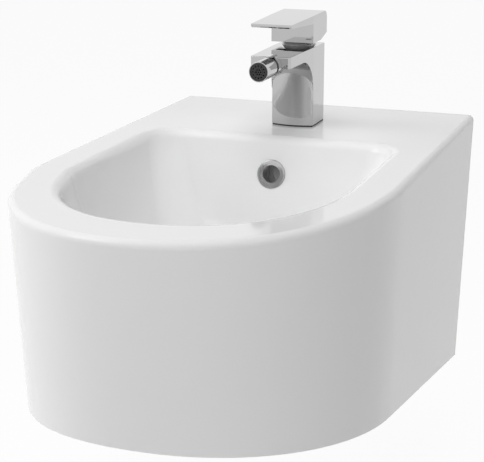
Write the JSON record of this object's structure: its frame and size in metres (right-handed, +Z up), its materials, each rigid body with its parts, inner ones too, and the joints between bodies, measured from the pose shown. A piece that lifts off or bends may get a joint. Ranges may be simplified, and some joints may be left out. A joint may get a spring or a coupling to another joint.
{
  "type": "wall-hung bidet",
  "caption": "Wall-hung bidet: D-shaped glazed china bowl with overflow, single-lever mixer with swivelling nozzle, push-to-close waste and wall fixings.",
  "frame": {"origin": "midway between the two wall fixing holes, on the wall face of the back panel", "axes": "+Y points into the wall, so the bowl projects towards -Y; +Z is up; +X is to the right seen from the front"},
  "size_m": [0.3496, 0.5795, 0.4106],
  "materials": {
    "glazed_china": "glossy white sanitary glaze",
    "chrome": "polished chrome plate",
    "zinc_steel": "zinc-plated steel",
    "bare_brass": "machined brass, unplated",
    "black_rubber": "black rubber",
    "white_plastic": "white moulded plastic",
    "nylon": "natural nylon",
    "cartridge_plastic": "grey cartridge plastic",
    "aerator_plastic": "dark grey plastic",
    "index_plastic": "grey gloss plastic"
  },
  "bodies": {
    "bidet": {"china_body": "glazed_china", "overflow_ring": "chrome", "fixing_sleeve_left": "nylon", "fixing_sleeve_right": "nylon", "fixing_washer_left": "zinc_steel", "fixing_washer_right": "zinc_steel", "fixing_nut_left": "zinc_steel", "fixing_nut_right": "zinc_steel", "fixing_cap_left": "white_plastic", "fixing_cap_right": "white_plastic", "waste_flange_seal": "black_rubber", "waste_body": "chrome", "waste_lower_seal": "black_rubber", "waste_backnut": "bare_brass", "tail_seal": "black_rubber", "tail_pipe": "white_plastic", "tail_collar": "white_plastic", "plug_spring": "zinc_steel", "tap_base_seal": "black_rubber", "tap_body": "chrome", "mounting_stud": "zinc_steel", "mounting_gasket": "black_rubber", "mounting_plate": "zinc_steel", "mounting_nut": "zinc_steel", "cartridge_body": "cartridge_plastic", "cartridge_nut": "bare_brass", "cartridge_cap": "chrome", "nozzle_ball": "chrome"},
    "carrier": {"cartridge_carrier": "cartridge_plastic"},
    "handle": {"cartridge_spindle": "bare_brass", "lever": "chrome", "lever_grub_screw": "zinc_steel", "lever_index_plug": "index_plastic"},
    "race": {"nozzle_race": "nylon"},
    "nozzle": {"nozzle_barrel": "chrome", "aerator_cage": "aerator_plastic", "aerator_seal": "black_rubber"},
    "plug": {"plug_cap": "chrome", "plug_seal": "black_rubber", "plug_stem": "bare_brass"}
  },
  "joints": [
    {"name": "lever_swing", "type": "hinge", "parent": "bidet", "child": "carrier", "pos_m": [0, -0.1025, 0.16], "axis": [0, 0, 1], "range_deg": [-45, 45]},
    {"name": "lever_lift", "type": "hinge", "parent": "carrier", "child": "handle", "pos_m": [0, -0.1025, 0.16], "axis": [-1, 0, 0], "range_deg": [0, 20]},
    {"name": "nozzle_yaw", "type": "hinge", "parent": "bidet", "child": "race", "pos_m": [0, -0.2085, 0.156], "axis": [0, 0, 1], "range_deg": [-15, 15]},
    {"name": "nozzle_pitch", "type": "hinge", "parent": "race", "child": "nozzle", "pos_m": [0, -0.2085, 0.156], "axis": [1, 0, 0], "range_deg": [-15, 15]},
    {"name": "plug_slide", "type": "slide", "parent": "bidet", "child": "plug", "axis": [0, 0, -1], "range_m": [0, 0.008], "deforming": ["plug_spring"]}
  ]
}
